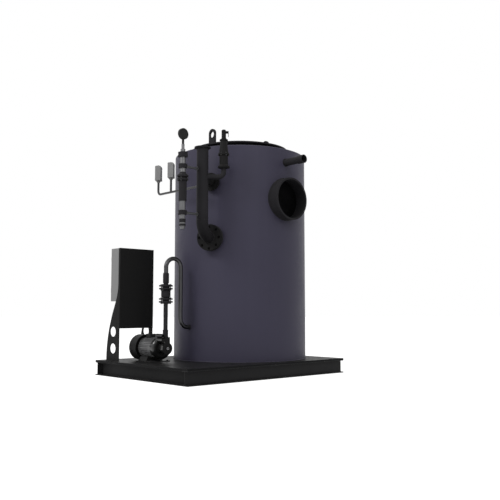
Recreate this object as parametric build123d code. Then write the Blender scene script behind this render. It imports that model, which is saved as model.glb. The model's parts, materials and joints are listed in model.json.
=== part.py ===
from build123d import *
import math
import os

# Vertical industrial boiler on a steel skid, in millimetres.
# The origin is the middle of the skid on the ground. +Z is up, +X runs along the skid's long side,
# and -Y is the long side that the flue collar points to.

# Skid
skid_length = 2076.0
skid_width = 1540.0
beam_height = 134.0
flange_width = 84.0
flange_thick = 9.0
web_thick = 6.0
deck_thick = 16.0
cross_beam_spacing = 558.0
deck_top = beam_height + deck_thick

# Boiler shell
shell_x = 279.0
shell_y = 33.0
jacket_radius = 702.5
jacket_sheet = 3.0
jacket_height = 2153.3
jacket_round = 12.0
vessel_gap = 52.5
vessel_wall = 12.0
head_thick = 16.0
head_drop = 4.0
vessel_radius = jacket_radius - vessel_gap
jacket_top_z = deck_top + jacket_height
head_top_z = jacket_top_z - jacket_sheet - head_drop

# Lid and lifting lugs
lid_margin = 182.5
lid_thick = 15.0
neck_inset = 50.0
neck_wall = 12.0
neck_height = 77.3
lug_inset = 128.0
lug_width = 100.0
lug_thick = 22.0
lug_height = 188.0
lug_hole_radius = 34.0
lug_hole_drop = 62.0
lid_radius = jacket_radius - lid_margin
neck_radius = lid_radius - neck_inset
lug_spacing = 2 * (lid_radius - lug_inset)
lid_low_z = head_top_z + neck_height
lid_top_z = lid_low_z + lid_thick

# Flue collar and vent nozzle, both pointing to -Y
flue_radius = 215.0
flue_wall = 18.0
flue_below_top = 525.3
flue_stand_out = 89.5
flue_depth = 130.0
vent_radius = 36.5
vent_wall = 5.2
vent_below_top = 143.3
vent_stand_out = 256.5
vent_socket_radius = 42.5
vent_socket_bore = 36.0
vent_socket_length = 72.0
vent_socket_back = 8.0
flue_reach = jacket_radius + flue_stand_out
vent_reach = jacket_radius + vent_stand_out
flue_z = jacket_top_z - flue_below_top
vent_z = jacket_top_z - vent_below_top

# Riser: a vertical pipe beside the shell, fed by two nozzles on one radial line
riser_angle = 25.5
riser_clearance = 237.5
riser_radius = 57.15
riser_wall = 4.5
riser_top_z = 2237.0
riser_lip_radius = 79.5
riser_lip_thick = 13.0
lower_nozzle_z = 1370.0
upper_nozzle_z = 1928.0
lower_flange_radius = 131.0
lower_flange_thick = 26.0
elbow_radius = 152.4
upper_pad_radius = 89.0
upper_pad_thick = 24.0
upper_pad_stand_out = 57.5
upper_nozzle_radius = 44.45
upper_nozzle_wall = 4.0
riser_distance = jacket_radius + riser_clearance
upper_pad_reach = jacket_radius + upper_pad_stand_out

# Safety valve on a bent branch of the riser
branch_angle = -45.0
branch_radius = 24.15
branch_wall = 3.6
branch_z = 1942.0
branch_reach = 206.0
branch_bend = 48.0
branch_rise = 88.0
valve_flange_radius = 58.0
valve_flange_thick = 13.0
valve_flare_height = 16.0
valve_body_radius = 41.5
valve_body_height = 110.0
bonnet_flange_radius = 54.0
bonnet_flange_thick = 18.0
bonnet_low_radius = 45.0
bonnet_high_radius = 33.0
bonnet_height = 125.0
valve_cap_radius = 40.0
valve_cap_thick = 12.0
spindle_radius = 22.0
spindle_height = 98.0
spindle_tip = 8.0
lever_radius = 12.5
lever_below_tip = 26.0
lever_reach = 47.0
lever_drop = 46.0
lever_thick = 5.0
valve_base_z = branch_z + branch_rise

# Water column beside the riser, on the -X side
column_offset = 238.0
column_tube_radius = 27.5
column_above_link = 132.0
column_below_link = 156.0
column_top_collar_radius = 45.0
column_top_collar_height = 44.0
column_low_collar_radius = 48.0
column_low_collar_height = 16.0
tee_radius = 40.0
tee_height = 39.0
upper_link_z = 2016.0
link_spacing = 443.0
link_radius = 11.0
chamber_radius = 38.0
chamber_below_link = 138.0
chamber_height = 195.0
chamber_flange_radius = 54.0
chamber_flange_thick = 17.0
chamber_flange_gap = 17.0
dome_height = 29.0
dome_radius = 43.0
dome_core_drop = 19.0
drain_radius = 26.5
drain_collar_radius = 30.0
drain_below_link = 61.0
drain_collar_height = 33.0
drain_gap = 14.0
drain_ring_height = 20.0
drain_end_radius = 22.0
nipple_low_radius = 23.0
nipple_low_height = 30.0
nipple_high_radius = 14.5
nipple_height = 78.0
gauge_stem_radius = 11.5
gauge_radius = 53.5
gauge_thick = 22.0
gauge_rise = 178.0
lower_link_z = upper_link_z - link_spacing
column_top_z = upper_link_z + column_above_link
column_bottom_z = lower_link_z - column_below_link
chamber_top_z = upper_link_z - chamber_below_link
chamber_bottom_z = chamber_top_z - chamber_height
drain_top_z = lower_link_z - drain_below_link
gauge_z = column_top_z + gauge_rise

# Pressure switches on a small tube that leaves the riser to +Y
sensor_z = 1858.0
sensor_tube_radius = 11.5
sensor_first_y = 514.0
sensor_second_y = 735.0
sensor_bend = 40.0
switch_rise = 147.0
switch_height = 155.0
switch_width = 59.0
switch_depth = 92.0
switch_chamfer = 7.0
switch_turn = 45.0
switch_cone_height = 22.0
switch_cone_low = 13.0
switch_cone_high = 25.5
switch_base_z = sensor_z + switch_rise

# Control panel on two legs
panel_left_x = -982.0
panel_front_y = 418.6
panel_width = 402.0
panel_thick = 4.0
panel_bottom_z = 475.0
panel_top_z = 1281.0
enclosure_depth = 178.0
enclosure_bottom_z = 746.0
leg_thick = 6.0
leg_depth = 239.0
leg_strip = 32.0
leg_curve_z = 930.0
leg_middle_depth = 109.0
leg_middle_z = 675.0
leg_hole_radius = 50.0
leg_hole_y = 117.0
leg_hole_low_z = 274.0
leg_hole_spacing = 167.0

# Feed pump, its shaft along Y
pump_x = -716.0
pump_shaft_height = 135.0
pump_face_y = -27.5
hub_radius = 59.0
hub_length = 78.0
casing_radius = 112.0
casing_length = 44.0
casing_front_round = 30.0
casing_back_round = 7.0
adapter_radius = 104.0
adapter_length = 24.0
motor_radius = 102.0
motor_length = 219.0
fin_count = 36
fin_height = 8.0
fin_thick = 4.0
cowl_radius = 128.0
cowl_length = 121.0
cowl_round = 10.0
terminal_width = 64.0
terminal_length = 75.0
terminal_height = 134.0
terminal_start = 97.0
shaft_nut_radius = 13.0
shaft_nut_thick = 10.0
discharge_width = 60.0
discharge_top = 110.0
suction_radius = 17.5
suction_bore_radius = 14.5
suction_offset = 52.0
suction_height = 126.0
suction_length = 117.0
boss_radius = 20.5
boss_offset = 50.0
boss_height = 83.0
boss_length = 98.0
foot_thick = 8.0
foot_width = 236.0
foot_start = -30.0
foot_length = 248.0
pedestal_low_width = 198.0
pedestal_high_width = 160.0
pedestal_height = 44.0
pedestal_start = 70.0
pedestal_length = 126.0
pump_z = deck_top + pump_shaft_height
fin_reach = math.hypot(motor_radius, fin_thick / 2)

# Feed line from the pump up, over and into the shell
feed_y = 7.5
feed_radius = 21.2
feed_wall = 3.6
feed_loop_clearance = 113.5
feed_loop_lead = 55.0
feed_entry_bend = 89.5
feed_entry_z = 487.0
coupling_radius = 26.5
coupling_length = 70.0
feed_pipe_length = 265.5
feed_flange_radius = 67.0
feed_flange_thick = 14.5
feed_flange_gap = 13.5
valve_ring_radius = 36.0
valve_ring_height = 11.5
check_valve_radius = 46.0
check_valve_height = 63.5
union_radius = 28.0
union_end_radius = 24.0
union_gap = 19.5
union_height = 100.5
union_end_height = 27.0
feed_loop_radius = (shell_x - jacket_radius - feed_loop_clearance - pump_x) / 2
feed_loop_rise = feed_loop_radius + feed_loop_lead
feed_flange_pitch = feed_flange_thick + feed_flange_gap
coupling_low_z = pump_z + discharge_top
coupling_top_z = coupling_low_z + coupling_length
low_flanges_z = coupling_top_z + feed_pipe_length
check_valve_low_z = low_flanges_z + feed_flange_pitch + feed_flange_thick + valve_ring_height
high_flanges_z = check_valve_low_z + check_valve_height + valve_ring_height
high_pair_top_z = high_flanges_z + feed_flange_pitch + feed_flange_thick
union_low_z = high_pair_top_z + union_gap
union_high_z = union_low_z + union_height
feed_loop_top_z = union_high_z + feed_loop_rise

nodes = {}


def solid_cylinder(radius, low, high, x=0.0, y=0.0):
    """An upright round bar between two heights."""
    bar = Cylinder(radius, high - low, align=(Align.CENTER, Align.CENTER, Align.MIN))
    return Pos(x, y, low) * bar


def tube(radius, wall, low, high, x=0.0, y=0.0):
    """An upright pipe between two heights."""
    return solid_cylinder(radius, low, high, x, y) - solid_cylinder(radius - wall, low, high, x, y)


def bar_to_minus_y(radius, y_back, y_front, x, z):
    """A round bar along Y, from its back end to its front end."""
    bar = Cylinder(radius, y_back - y_front, align=(Align.CENTER, Align.CENTER, Align.MIN))
    return Pos(x, y_back, z) * Rot(90, 0, 0) * bar


def cone(low_radius, high_radius, low, high, x=0.0, y=0.0):
    """An upright cone between two heights."""
    body = Cone(low_radius, high_radius, high - low, align=(Align.CENTER, Align.CENTER, Align.MIN))
    return Pos(x, y, low) * body


def block(x_low, x_high, y_low, y_high, z_low, z_high):
    """A box between two corners."""
    box = Box(x_high - x_low, y_high - y_low, z_high - z_low, align=(Align.MIN, Align.MIN, Align.MIN))
    return Pos(x_low, y_low, z_low) * box


def i_beam(length, along_x):
    """An I-beam lying on the ground, centred on the origin."""
    flange = Box(length, flange_width, flange_thick, align=(Align.CENTER, Align.CENTER, Align.MIN))
    web = Box(length, web_thick, beam_height, align=(Align.CENTER, Align.CENTER, Align.MIN))
    beam = flange + web + Pos(0, 0, beam_height - flange_thick) * flange
    return beam if along_x else Rot(0, 0, 90) * beam


def on_shell_axis(shape):
    """Move a shape built about Z to the boiler's axis."""
    return Pos(shell_x, shell_y, 0) * shape


def on_riser_line(shape):
    """Turn a shape built along -X about the boiler's axis to the riser's direction."""
    return on_shell_axis(Rot(0, 0, riser_angle) * shape)


def bar_outward(radius, start, end, height):
    """A round bar along -X from the shell's axis, between two distances."""
    bar = Cylinder(radius, end - start, align=(Align.CENTER, Align.CENTER, Align.MIN))
    return Pos(-start, 0, height) * Rot(0, -90, 0) * bar


def quarter_bend(radius, bend_radius):
    """A solid quarter ring in the XZ plane: it starts along -X at the origin and ends upright."""
    section = Plane.YZ * Circle(radius)
    centre_line = Axis((0, 0, bend_radius), (0, 1, 0))
    return revolve(section, centre_line, 90)


def pipe_along(path, radius, wall):
    """A pipe swept along a path of straight runs and tangent arcs."""
    plane = Plane(origin=path @ 0, z_dir=path % 0)
    outer = sweep(plane * Circle(radius), path=path)
    inner = sweep(plane * Circle(radius - wall), path=path)
    return outer - inner


riser_turn = math.radians(riser_angle)
riser_x = shell_x - riser_distance * math.cos(riser_turn)
riser_y = shell_y - riser_distance * math.sin(riser_turn)
column_x = riser_x - column_offset
column_y = riser_y
branch_turn = math.radians(branch_angle)
valve_x = riser_x + branch_reach * math.cos(branch_turn)
valve_y = riser_y + branch_reach * math.sin(branch_turn)
vessel_core = on_shell_axis(solid_cylinder(vessel_radius, deck_top, jacket_top_z))
riser_core = solid_cylinder(riser_radius, lower_nozzle_z, riser_top_z, riser_x, riser_y)


def make_skid():
    """Perimeter beams, cross beams and the deck plate."""
    side_y = (skid_width - flange_width) / 2
    side_x = (skid_length - flange_width) / 2
    short_length = skid_width - 2 * flange_width
    nodes["skid_front_beam"] = Pos(0, -side_y, 0) * i_beam(skid_length, True)
    nodes["skid_back_beam"] = Pos(0, side_y, 0) * i_beam(skid_length, True)
    nodes["skid_left_beam"] = Pos(-side_x, 0, 0) * i_beam(short_length, False)
    nodes["skid_right_beam"] = Pos(side_x, 0, 0) * i_beam(short_length, False)
    nodes["skid_cross_beams"] = Compound([
        Pos(shell_x + side * cross_beam_spacing / 2, 0, 0) * i_beam(short_length, False)
        for side in (-1, 1)
    ])
    nodes["deck_plate"] = block(
        -skid_length / 2, skid_length / 2, -skid_width / 2, skid_width / 2, beam_height, deck_top
    )


def make_shell():
    """Insulation jacket, its top sheet and the pressure vessel inside."""
    jacket = on_shell_axis(tube(jacket_radius, jacket_sheet, deck_top, jacket_top_z - jacket_round))
    flue_hole = bar_to_minus_y(flue_radius, shell_y, shell_y - flue_reach, shell_x, flue_z)
    vent_hole = bar_to_minus_y(vent_radius, shell_y, shell_y - vent_reach, shell_x, vent_z)
    lower_hole = on_riser_line(bar_outward(riser_radius, 0, riser_distance, lower_nozzle_z))
    upper_hole = on_riser_line(bar_outward(upper_nozzle_radius, 0, riser_distance, upper_nozzle_z))
    feed_hole = Pos(shell_x, feed_y, 0) * bar_outward(feed_radius, 0, riser_distance, feed_entry_z)
    nodes["jacket_shell"] = jacket - flue_hole - vent_hole - lower_hole - upper_hole - feed_hole
    bend_x = jacket_radius - jacket_round
    bend_z = jacket_top_z - jacket_round
    top_profile = Wire([
        Line((neck_radius, jacket_top_z), (bend_x, jacket_top_z)),
        RadiusArc((bend_x, jacket_top_z), (jacket_radius, bend_z), jacket_round),
        Line((jacket_radius, bend_z), (jacket_radius - jacket_sheet, bend_z)),
        RadiusArc((jacket_radius - jacket_sheet, bend_z), (bend_x, jacket_top_z - jacket_sheet),
                  jacket_sheet - jacket_round),
        Line((bend_x, jacket_top_z - jacket_sheet), (neck_radius, jacket_top_z - jacket_sheet)),
        Line((neck_radius, jacket_top_z - jacket_sheet), (neck_radius, jacket_top_z)),
    ])
    nodes["jacket_top"] = on_shell_axis(revolve(Plane.XZ * Face(top_profile), Axis.Z))
    wall = tube(vessel_radius, vessel_wall, deck_top, head_top_z - head_thick)
    nodes["vessel_wall"] = on_shell_axis(wall)
    neck_bore = neck_radius - neck_wall
    head = tube(vessel_radius, vessel_radius - neck_bore, head_top_z - head_thick, head_top_z)
    nodes["vessel_head"] = on_shell_axis(head)


def make_lid():
    """Neck, lid plate and the two lifting lugs on it."""
    nodes["lid_neck"] = on_shell_axis(tube(neck_radius, neck_wall, head_top_z, lid_low_z))
    nodes["lid_plate"] = on_shell_axis(solid_cylinder(lid_radius, lid_low_z, lid_top_z))
    for name, side in (("lifting_lug_left", -1), ("lifting_lug_right", 1)):
        low = lid_top_z
        round_z = low + lug_height - lug_width / 2
        hole_z = low + lug_height - lug_hole_drop
        web = block(-lug_thick / 2, lug_thick / 2, -lug_width / 2, lug_width / 2, low, round_z)
        across = Rot(0, 90, 0)
        eye = Pos(0, 0, round_z) * across * Cylinder(lug_width / 2, lug_thick)
        hole = Pos(0, 0, hole_z) * across * Cylinder(lug_hole_radius, 2 * lug_thick)
        lug = web + eye - hole
        nodes[name] = on_shell_axis(Pos(side * lug_spacing / 2, 0, 0) * lug)


def make_outlets():
    """Flue collar, closed at its back, and vent nozzle with its socket."""
    mouth = shell_y - flue_reach
    collar = bar_to_minus_y(flue_radius, shell_y, mouth, shell_x, flue_z)
    bore = bar_to_minus_y(flue_radius - flue_wall, mouth + flue_depth, mouth, shell_x, flue_z)
    nodes["flue_collar"] = collar - bore - vessel_core
    vent_mouth = shell_y - vent_reach
    socket_back = vent_mouth + vent_socket_length
    pipe = bar_to_minus_y(vent_radius, shell_y, socket_back, shell_x, vent_z)
    pipe_bore = bar_to_minus_y(vent_radius - vent_wall, shell_y, socket_back, shell_x, vent_z)
    nodes["vent_nozzle"] = pipe - pipe_bore - vessel_core
    socket = bar_to_minus_y(vent_socket_radius, socket_back, vent_mouth, shell_x, vent_z)
    shoulder = socket_back - vent_socket_back
    socket_bore = bar_to_minus_y(vent_socket_bore, shoulder, vent_mouth, shell_x, vent_z)
    through = bar_to_minus_y(vent_radius - vent_wall, socket_back, vent_mouth, shell_x, vent_z)
    nodes["vent_socket"] = socket - socket_bore - through


def make_riser():
    """Lower nozzle, flanges, bent riser pipe, its lip and the upper nozzle."""
    outer_face = riser_distance - elbow_radius
    joint_face = outer_face - lower_flange_thick
    inner_face = joint_face - lower_flange_thick
    stub = bar_outward(riser_radius, 0, inner_face, lower_nozzle_z)
    stub_flange = bar_outward(lower_flange_radius, inner_face, joint_face, lower_nozzle_z)
    stub_bore = bar_outward(riser_radius - riser_wall, 0, joint_face, lower_nozzle_z)
    nodes["lower_nozzle"] = on_riser_line(stub + stub_flange - stub_bore) - vessel_core
    flange = bar_outward(lower_flange_radius, joint_face, outer_face, lower_nozzle_z)
    flange_bore = bar_outward(riser_radius - riser_wall, joint_face, outer_face, lower_nozzle_z)
    nodes["riser_flange"] = on_riser_line(flange - flange_bore)
    start = Vector(-outer_face, 0, lower_nozzle_z)
    bend_end = Vector(-riser_distance, 0, lower_nozzle_z + elbow_radius)
    bend = TangentArc(start, bend_end, tangent=(-1, 0, 0))
    straight = Line(bend_end, Vector(-riser_distance, 0, riser_top_z - riser_lip_thick))
    nodes["riser_pipe"] = on_riser_line(pipe_along(Wire([bend, straight]), riser_radius, riser_wall))
    lip = tube(
        riser_lip_radius, riser_lip_radius - riser_radius + riser_wall,
        riser_top_z - riser_lip_thick, riser_top_z, riser_x, riser_y,
    )
    nodes["riser_lip"] = lip
    upper = bar_outward(upper_nozzle_radius, 0, riser_distance, upper_nozzle_z)
    pad_back = upper_pad_reach - upper_pad_thick
    pad = bar_outward(upper_pad_radius, pad_back, upper_pad_reach, upper_nozzle_z)
    bore = bar_outward(upper_nozzle_radius - upper_nozzle_wall, 0, riser_distance, upper_nozzle_z)
    nodes["upper_nozzle"] = on_riser_line(upper + pad - bore) - vessel_core - riser_core


def make_safety_valve():
    """Bent branch, valve body, bonnet and lever."""
    start = Vector(0, 0, 0)
    corner = Vector(branch_reach, 0, 0)
    end = Vector(branch_reach, 0, branch_rise)
    path = FilletPolyline(start, corner, end, radius=branch_bend)
    branch_start = Pos(riser_x, riser_y, branch_z) * Rot(0, 0, branch_angle)
    branch = branch_start * pipe_along(path, branch_radius, branch_wall)
    nozzle = on_riser_line(bar_outward(upper_nozzle_radius, 0, riser_distance, upper_nozzle_z))
    pad = on_riser_line(bar_outward(
        upper_pad_radius, upper_pad_reach - upper_pad_thick, upper_pad_reach, upper_nozzle_z
    ))
    nodes["safety_branch"] = branch - riser_core - nozzle - pad
    body_low = valve_base_z + valve_flange_thick
    body_high = body_low + valve_body_height
    flange = solid_cylinder(valve_flange_radius, valve_base_z, body_low, valve_x, valve_y)
    body = solid_cylinder(valve_body_radius, body_low, body_high, valve_x, valve_y)
    flare_top = body_low + valve_flare_height
    flare = cone(valve_flange_radius, valve_body_radius, body_low, flare_top, valve_x, valve_y)
    nodes["safety_valve_body"] = flange + flare + body
    bonnet_low = body_high + bonnet_flange_thick
    bonnet_high = bonnet_low + bonnet_height
    plate = solid_cylinder(bonnet_flange_radius, body_high, bonnet_low, valve_x, valve_y)
    taper = cone(bonnet_low_radius, bonnet_high_radius, bonnet_low, bonnet_high, valve_x, valve_y)
    nodes["safety_valve_bonnet"] = plate + taper
    cap_high = bonnet_high + valve_cap_thick
    cap = solid_cylinder(valve_cap_radius, bonnet_high, cap_high, valve_x, valve_y)
    spindle_high = cap_high + spindle_height
    spindle = solid_cylinder(spindle_radius, cap_high, spindle_high, valve_x, valve_y)
    spindle = chamfer(spindle.edges().sort_by(Axis.Z)[-1], spindle_tip)
    nodes["safety_valve_cap"] = cap + spindle
    knob_z = cap_high + spindle_height - lever_below_tip
    away = Rot(0, 0, branch_angle)
    knob = Rot(0, 90, 0) * solid_cylinder(lever_radius, 0, lever_reach)
    half = lever_thick / 2
    handle = block(lever_reach - lever_thick, lever_reach, -half, half, -lever_drop, 0)
    lever = Pos(valve_x, valve_y, knob_z) * away * (knob + handle)
    nodes["safety_valve_lever"] = lever - nodes["safety_valve_cap"]


def make_water_column():
    """Gauge, tubes, tees, chamber and the two links to the riser."""
    x, y = column_x, column_y
    tee_half = tee_height / 2
    collar_low = column_top_z - column_top_collar_height
    nodes["column_gauge"] = (
        Pos(x, y, gauge_z) * Rot(90, 0, 0) * Cylinder(gauge_radius, gauge_thick)
        + solid_cylinder(gauge_stem_radius, column_top_z + nipple_height, gauge_z, x, y)
    )
    nipple = solid_cylinder(nipple_high_radius, column_top_z, column_top_z + nipple_height, x, y)
    nipple += solid_cylinder(nipple_low_radius, column_top_z, column_top_z + nipple_low_height, x, y)
    nodes["gauge_nipple"] = nipple
    low_collar_top = collar_low + column_low_collar_height
    top_collar = solid_cylinder(column_top_collar_radius, collar_low, column_top_z, x, y)
    top_collar += solid_cylinder(column_low_collar_radius, collar_low, low_collar_top, x, y)
    nodes["column_collars"] = Compound([
        top_collar,
        solid_cylinder(tee_radius, upper_link_z - tee_half, upper_link_z + tee_half, x, y),
        solid_cylinder(tee_radius, lower_link_z - tee_half, lower_link_z + tee_half, x, y),
    ])
    flange_top = chamber_top_z + chamber_flange_thick
    second_low = flange_top + chamber_flange_gap
    second_top = second_low + chamber_flange_thick
    dome_top = second_top + dome_height
    chamber = solid_cylinder(chamber_radius, chamber_bottom_z, dome_top - dome_core_drop, x, y)
    chamber += solid_cylinder(chamber_flange_radius, chamber_top_z, flange_top, x, y)
    chamber += solid_cylinder(chamber_flange_radius, second_low, second_top, x, y)
    chamber += cone(dome_radius, column_tube_radius, second_top, dome_top, x, y)
    nodes["column_chamber"] = chamber
    nodes["column_tubes"] = Compound([
        solid_cylinder(column_tube_radius, upper_link_z + tee_half, collar_low, x, y),
        solid_cylinder(column_tube_radius, dome_top, upper_link_z - tee_half, x, y),
        solid_cylinder(column_tube_radius, lower_link_z + tee_half, chamber_bottom_z, x, y),
    ])
    drain_low = column_bottom_z + drain_ring_height
    drain = solid_cylinder(drain_radius, drain_low, lower_link_z - tee_half, x, y)
    drain += solid_cylinder(drain_collar_radius, drain_top_z - drain_collar_height, drain_top_z, x, y)
    ring_high = drain_top_z - drain_collar_height - drain_gap
    drain += solid_cylinder(drain_collar_radius, ring_high - drain_ring_height, ring_high, x, y)
    drain += solid_cylinder(drain_end_radius, column_bottom_z, ring_high, x, y)
    nodes["column_drain"] = drain
    links = []
    for z in (upper_link_z, lower_link_z):
        link = Pos(x, y, z) * Rot(0, 90, 0) * solid_cylinder(link_radius, 0, column_offset)
        tee_core = solid_cylinder(tee_radius, z - tee_height, z + tee_height, x, y)
        links.append(link - riser_core - tee_core)
    nodes["column_links"] = Compound(links)


def make_pressure_switches():
    """Small tube with two upright ends, and a switch on each."""
    first_y = riser_y + sensor_first_y
    second_y = riser_y + sensor_second_y
    bend_y = second_y - sensor_bend
    stem_top = switch_base_z - switch_cone_height
    run = bar_to_minus_y(sensor_tube_radius, bend_y, riser_y, riser_x, sensor_z)
    bend_start = Pos(riser_x, bend_y, sensor_z) * Rot(0, 0, -90)
    bend = bend_start * quarter_bend(sensor_tube_radius, sensor_bend)
    far_stem = solid_cylinder(sensor_tube_radius, sensor_z + sensor_bend, stem_top, riser_x, second_y)
    near_stem = solid_cylinder(sensor_tube_radius, sensor_z, stem_top, riser_x, first_y)
    nodes["sensor_tube"] = run + bend + far_stem + near_stem - riser_core
    for name, y in (("pressure_switch_near", first_y), ("pressure_switch_far", second_y)):
        base = cone(switch_cone_low, switch_cone_high, stem_top, switch_base_z, riser_x, y)
        case = Box(
            switch_depth, switch_width, switch_height, align=(Align.CENTER, Align.CENTER, Align.MIN)
        )
        case = chamfer(case.faces().sort_by(Axis.Z)[-1].edges(), switch_chamfer)
        nodes[name] = base + Pos(riser_x, y, switch_base_z) * Rot(0, 0, switch_turn) * case


def make_panel():
    """Front plate, enclosure behind it and two cut-out legs."""
    right_x = panel_left_x + panel_width
    back_y = panel_front_y + panel_thick
    nodes["panel_plate"] = block(
        panel_left_x, right_x, panel_front_y, back_y, panel_bottom_z, panel_top_z
    )
    inner_left = panel_left_x + leg_thick
    inner_right = right_x - leg_thick
    nodes["panel_enclosure"] = block(
        inner_left, inner_right, back_y, panel_front_y + enclosure_depth,
        enclosure_bottom_z, panel_top_z
    )
    front = back_y
    foot = (panel_front_y + leg_depth, deck_top)
    waist = (panel_front_y + leg_middle_depth, leg_middle_z)
    strip = (panel_front_y + leg_strip, leg_curve_z)
    low_curve = Spline(foot, waist, strip, tangents=[(0, 1), (0, 1)])
    outline = Wire([
        Line((front, deck_top), foot), low_curve, Line(strip, (strip[0], panel_top_z)),
        Line((strip[0], panel_top_z), (front, panel_top_z)),
        Line((front, panel_top_z), (front, deck_top)),
    ])
    for name, x in (("panel_leg_left", panel_left_x), ("panel_leg_right", inner_right)):
        leg = extrude(Plane.YZ * Face(outline), amount=leg_thick)
        for step in range(2):
            z = leg_hole_low_z + step * leg_hole_spacing
            hole = Pos(0, panel_front_y + leg_hole_y, z) * Rot(0, 90, 0) * Cylinder(
                leg_hole_radius, 4 * leg_thick
            )
            leg -= hole
        nodes[name] = Pos(x, 0, 0) * leg


def make_pump():
    """Feed pump: hub, casing, motor, fan cowl, terminal box, ports and feet."""
    x, z = pump_x, pump_z
    hub_back = pump_face_y + hub_length
    casing_back = hub_back + casing_length
    adapter_back = casing_back + adapter_length
    motor_back = adapter_back + motor_length
    cowl_back = motor_back + cowl_length
    ring = bar_to_minus_y(casing_radius, casing_back, hub_back, x, z)
    rims = ring.edges().filter_by(GeomType.CIRCLE).sort_by(Axis.Y)
    ring = fillet(rims[0], casing_front_round)
    rims = ring.edges().filter_by(GeomType.CIRCLE).sort_by(Axis.Y)
    ring = fillet(rims[-1], casing_back_round)
    head = ring + bar_to_minus_y(hub_radius, hub_back, pump_face_y, x, z)
    boss_back = pump_face_y + boss_length
    head += bar_to_minus_y(boss_radius, boss_back, pump_face_y, x - boss_offset, z + boss_height)
    head += block(
        x - discharge_width / 2, x + discharge_width / 2, pump_face_y, hub_back, z, z + discharge_top
    )
    head += bar_to_minus_y(shaft_nut_radius, pump_face_y, pump_face_y - shaft_nut_thick, x, z)
    nodes["pump_head"] = head
    nodes["pump_adapter"] = bar_to_minus_y(adapter_radius, adapter_back, casing_back, x, z)
    motor = bar_to_minus_y(motor_radius - fin_height, motor_back, adapter_back, x, z)
    fin_length = motor_length - 2 * fin_height
    fin = Pos(x, adapter_back + motor_length / 2, z) * Box(fin_thick, fin_length, 2 * motor_radius)
    for step in range(fin_count // 2):
        turn = Pos(x, 0, z) * Rot(0, 360.0 * step / fin_count, 0) * Pos(-x, 0, -z)
        motor += turn * fin
    nodes["pump_motor"] = motor
    cowl = bar_to_minus_y(cowl_radius, cowl_back, motor_back, x, z)
    rim = cowl.edges().filter_by(GeomType.CIRCLE).sort_by(Axis.Y)[-1]
    nodes["pump_cowl"] = fillet(rim, cowl_round)


def make_pump_fittings():
    """Terminal box, suction stub and the pump's foot."""
    x, z = pump_x, pump_z
    casing_front = pump_face_y + hub_length
    motor_front = casing_front + casing_length + adapter_length
    box_front = motor_front + terminal_start
    box = block(
        x - terminal_width / 2, x + terminal_width / 2, box_front, box_front + terminal_length,
        z, z + terminal_height,
    )
    motor_back = motor_front + motor_length
    motor_room = bar_to_minus_y(fin_reach, motor_back, motor_front, x, z)
    nodes["pump_terminal_box"] = box - motor_room
    suction_x = x - suction_offset
    suction_z = z + suction_height
    suction_back = pump_face_y + suction_length
    turn_y = suction_back - suction_radius
    stub = bar_to_minus_y(suction_radius, turn_y, pump_face_y, suction_x, suction_z)
    stub += Pos(suction_x, turn_y, suction_z) * Sphere(suction_radius)
    drop = solid_cylinder(suction_radius, z, suction_z, suction_x, turn_y)
    bore = bar_to_minus_y(suction_bore_radius, turn_y, pump_face_y, suction_x, suction_z)
    adapter_room = bar_to_minus_y(adapter_radius, motor_front, casing_front + casing_length, x, z)
    nodes["pump_suction"] = stub + drop - bore - nodes["pump_head"] - adapter_room
    foot_front = motor_front + foot_start
    foot_half = foot_width / 2
    foot_top = deck_top + foot_thick
    foot = block(x - foot_half, x + foot_half, foot_front, foot_front + foot_length, deck_top, foot_top)
    low_half = pedestal_low_width / 2
    high_half = pedestal_high_width / 2
    pedestal_top = foot_top + pedestal_height
    front = motor_front + pedestal_start
    section = make_face(Plane.XZ * Polyline(
        (-low_half, foot_top), (low_half, foot_top), (high_half, pedestal_top),
        (-high_half, pedestal_top), close=True,
    ))
    foot += Pos(x, front + pedestal_length, 0) * extrude(section, amount=pedestal_length)
    nodes["pump_foot"] = foot - motor_room


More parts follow.
